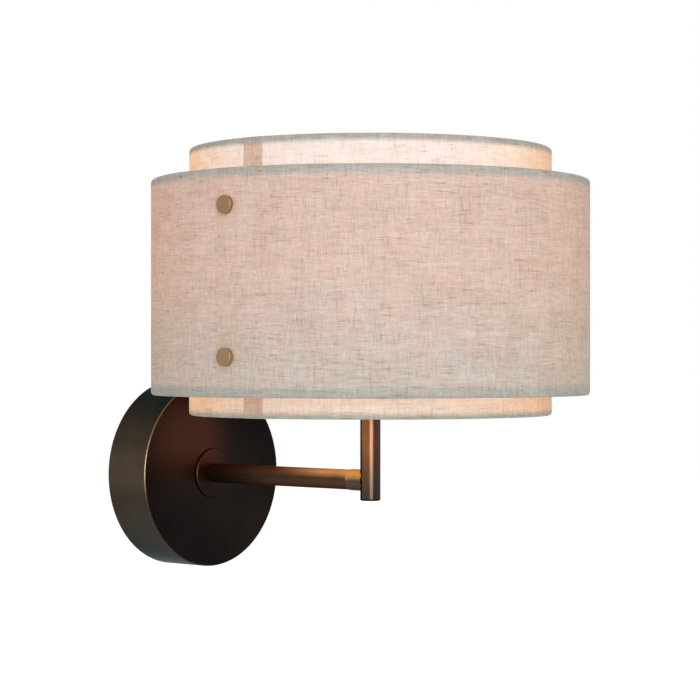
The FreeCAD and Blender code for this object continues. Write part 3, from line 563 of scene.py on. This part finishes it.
def linen_shade(name, radius, low, high, hems, material, replaced):
    """A shade's linen: one cut, lapped at the seam and rolled in over the hoops at both edges."""
    height = high - low
    length = 2 * math.pi * radius + LAP
    roll = math.pi * HEM_ROLL
    starts = HEM_ROLL - roll - (hems[0] - HEM_ROLL)
    ends = height - HEM_ROLL + roll + (hems[1] - HEM_ROLL)
    rows = [starts, *(HEM_ROLL - roll + roll * k / ROLL_ROWS for k in range(ROLL_ROWS))]
    rows += [HEM_ROLL + (height - 2 * HEM_ROLL) * k / FACE_ROWS for k in range(FACE_ROWS)]
    rows += [height - HEM_ROLL + roll * k / ROLL_ROWS for k in range(ROLL_ROWS + 1)]
    rows.append(ends)
    bm = bmesh.new()
    bmesh.ops.create_grid(bm, x_segments=SHEET_COLUMNS, y_segments=len(rows) - 1, size=0.5)
    cut = bm.loops.layers.uv.new("cut")
    places = [0.0, *(FREE_EDGE + (length - 2 * FREE_EDGE) * k / (SHEET_COLUMNS - 2)
                     for k in range(SHEET_COLUMNS - 1)), length]
    first_angle = SEAM_ANGLE - LAP / 2 / radius

    def on_cut(vert):
        """Where a corner of the grid lies along the cut, and which row it is in."""
        column = round((vert.co.x + 0.5) * SHEET_COLUMNS)
        return places[column], round((vert.co.y + 0.5) * (len(rows) - 1))

    for face in bm.faces:
        for corner in face.loops:
            along, row = on_cut(corner.vert)
            corner[cut].uv = (along, rows[row])
    for vert in bm.verts:
        along, row = on_cut(vert)
        inset, level, outward, rise = hem_line(rows[row], height)
        ease = min(max((along - LAP) / LAP_EASE, 0.0), 1.0)
        lift = LAP_STEP * (1 - ease * ease * (3 - 2 * ease))
        reach = radius - inset + lift * outward
        angle = first_angle + along / radius
        vert.co = (reach * math.cos(angle), AXIS_Y + reach * math.sin(angle), low + level + lift * rise)
    made = piece(name, bm, material, "shade", replaced, sharp=60)
    wall = made.modifiers.new("linen_wall", "SOLIDIFY")
    wall.thickness = LINEN
    wall.offset = -1.0


def backing(name, radius, low, high, material, replaced):
    """The stiff white backing inside the linen."""
    outside = radius - LINEN
    inside = outside - BACKING
    bottom = low + LINEN + BACKING_GAP
    top = high - LINEN - BACKING_GAP
    bm = turned([(inside, bottom), (outside, bottom), (outside, top), (inside, top)], DRUM_STEPS)
    piece(name, bm, material, "shade", replaced, UPRIGHT)


outer_cloth = linen("outer_linen_lit", OUTER_RADIUS, outer_high.z - outer_low.z,
                    lit=((4.2 * MM, 9.2 * MM), (2.9 * MM, 8.3 * MM)),
                    pale_glow=(0.25, 0.085, 0.060), warm_glow=(0.262, 0.070, 0.010),
                    low_tint=(0.56, 0.85, 0.95), seam_glow=(0.240, 0.074, 0.034))
inner_cloth = linen("inner_linen_lit", INNER_RADIUS, inner_high.z - inner_low.z,
                    lit=((0.8 * MM, 6.0 * MM), (2.4 * MM, 6.6 * MM)),
                    pale_glow=(0.49, 0.39, 0.38), warm_glow=(0.56, 0.27, 0.10),
                    low_tint=(0.87, 0.74, 0.56), seam_glow=(0.235, 0.080, 0.035))
outer_film = laminate("outer_backing_lit", (0.34, 0.19, 0.10))
inner_film = laminate("inner_backing_lit", (0.30, 0.21, 0.12))

linen_shade("outer_linen", OUTER_RADIUS, outer_low.z, outer_high.z, OUTER_HEMS, outer_cloth,
            "outer_drum")
linen_shade("inner_linen", INNER_RADIUS, inner_low.z, inner_high.z, INNER_HEMS, inner_cloth,
            "inner_drum")
backing("outer_backing", OUTER_RADIUS, outer_low.z, outer_high.z, outer_film, "outer_drum")
backing("inner_backing", INNER_RADIUS, inner_low.z, inner_high.z, inner_film, "inner_drum")

# ---------------------------------------------------------------- tubes


def drawn_tube(name, start, end, finish, place, replaced, port=False):
    """A smooth drawn tube about its own Z; a port faces its own Y at height 0."""
    bore = TUBE_RADIUS - TUBE_WALL
    port_edges = [-PORT, PORT] if port else []
    outside = [(TUBE_RADIUS, level) for level in (start, *port_edges, end)]
    inside = [(bore, level) for level in (end, *reversed(port_edges), start)]
    bm = turned(outside + inside, TUBE_STEPS)
    if port:
        width = math.asin(PORT / TUBE_RADIUS)
        cut = [face for face in bm.faces if abs(face.calc_center_median().z) < PORT / 2
               and abs(math.atan2(face.calc_center_median().x, face.calc_center_median().y)) < width]
        bmesh.ops.delete(bm, geom=cut, context="FACES")
        bmesh.ops.bridge_loops(bm, edges=[edge for edge in bm.edges if edge.is_boundary])
        bmesh.ops.recalc_face_normals(bm, faces=bm.faces)
    piece(name, bm, finish, "wall_unit", replaced, place)


drawn_tube("arm_drawn_tube", -arm_high.y, -arm_low.y, arm_bronze, OUT_OF_WALL, "arm_tube")
drawn_tube("post_drawn_tube", post_low.z, post_high.z, tube_bronze, UPRIGHT, "post_tube", port=True)

# ---------------------------------------------------------------- carried-over pieces

# The drums' own slot has no finish here, because the linen and its backing stand for them.
slot_of = {part["node"]: part["material_slot"] for part in frame["record"]["subparts"]}
for label, thing in frame["nodes"].items():
    finish = OWN_FINISH.get(label) or FINISHES.get(slot_of[label])
    if finish:
        for slot in thing.material_slots:
            slot.material = finish

# ---------------------------------------------------------------- stage, lights and camera

FLOOR_LEVEL = -0.36
FLOOR_REACH = 6.0
FLOOR_GLOW = 0.6
FILL = 0.5


def white_rays(finish):
    """1 where something is seen, mirrored or seen through glass, and 0 where light only falls on it."""
    path = finish.node("ShaderNodeLightPath")
    return path["Is Camera Ray"].most(path["Is Glossy Ray"]).most(path["Is Transmission Ray"])


def plain_floor():
    """A white floor that keeps the soft shadow and is clear from below."""
    paint = Finish(bpy.data.materials.new("floor_paint"))
    grain = paint.noise(paint.place(), 30.0)
    white = paint.blend(grain, (0.84, 0.84, 0.84), (0.88, 0.88, 0.88))
    lit = paint.node("ShaderNodeBsdfPrincipled", None, {
        "Base Color": white, "Roughness": 0.8, "Emission Color": (1, 1, 1),
        "Emission Strength": FLOOR_GLOW * white_rays(paint)})
    clear = paint.node("ShaderNodeBsdfTransparent")
    below = paint.node("ShaderNodeNewGeometry")["Backfacing"]
    shader = paint.node("ShaderNodeMixShader", None, {0: below, 1: lit["BSDF"], 2: clear["BSDF"]})
    paint.node("ShaderNodeOutputMaterial", None, {"Surface": shader["Shader"]})
    bm = bmesh.new()
    bmesh.ops.create_grid(bm, x_segments=1, y_segments=1, size=FLOOR_REACH)
    bmesh.ops.translate(bm, vec=(0, 0, FLOOR_LEVEL), verts=bm.verts)
    mesh_object("floor", bm, paint.owner)


def white_surroundings():
    """White where it is seen or mirrored, and a plain soft fill on everything else."""
    world = bpy.data.worlds.new("surroundings")
    bpy.context.scene.world = world
    sky = Finish(world)
    level = white_rays(sky).rise(0.0, 1.0, FILL, 1.0)
    shader = sky.node("ShaderNodeBackground", None, {"Color": (1, 1, 1), "Strength": level})
    sky.node("ShaderNodeOutputWorld", None, {"Surface": shader["Background"]})


def softbox(name, place, target, width, height, watts, unseen):
    """A rectangular lamp turned to its target, which rays of one kind don't see."""
    lamp = bpy.data.lights.new(name, "AREA")
    lamp.shape = "RECTANGLE"
    lamp.size = width
    lamp.size_y = height
    lamp.energy = watts
    made = scene_object(name, lamp)
    made.location = place
    made.rotation_euler = (Vector(target) - Vector(place)).to_track_quat("-Z", "Y").to_euler()
    setattr(made, "visible_" + unseen, False)


# The camera stands level; its lens is in millimetres, for a frame of this width.
CAMERA_PLACE = Vector((-1.1624, -1.2157, 0.0839))
CAMERA_TURN = math.radians(-48.1)
CAMERA_LENS = 116.12
CAMERA_FRAME = 36.0
CAMERA_SHIFT = 0.0117

# The two front lamps stand beside the camera, a little above the shades, and the third behind the rose.
LAMP_ANGLE = math.radians(-125.6)
LAMP_HEIGHT = 0.45
SHADES_MIDDLE = (0, AXIS_Y, 0.12)
BEHIND = (-1.25, 0.85, 0.5)
ARM_MIDDLE = (0, AXIS_Y / 2, 0.05)


def beside_camera(distance):
    """A place to the camera's right, this far from the shades' axis."""
    return distance * math.cos(LAMP_ANGLE), AXIS_Y + distance * math.sin(LAMP_ANGLE), LAMP_HEIGHT


plain_floor()
white_surroundings()

# One lamp lights the front, a wider one in front of it shows only as the gleam on the metal, and one behind
# brings out the edges.
softbox("key_lamp", beside_camera(1.6), SHADES_MIDDLE, width=0.3, height=1.3, watts=9.5, unseen="glossy")
softbox("gleam_lamp", beside_camera(1.5), SHADES_MIDDLE, width=0.95, height=1.3, watts=35.0, unseen="diffuse")
softbox("edge_lamp", BEHIND, ARM_MIDDLE, width=0.4, height=0.6, watts=2.2, unseen="glossy")

camera_data = bpy.data.cameras.new("camera")
camera_data.sensor_width = CAMERA_FRAME
camera_data.lens = CAMERA_LENS
camera_data.shift_y = CAMERA_SHIFT
camera = scene_object("camera", camera_data)
camera.location = CAMERA_PLACE
camera.rotation_euler = (math.pi / 2, 0, CAMERA_TURN)
bpy.context.scene.camera = camera
bpy.context.scene.view_settings.view_transform = "Standard"
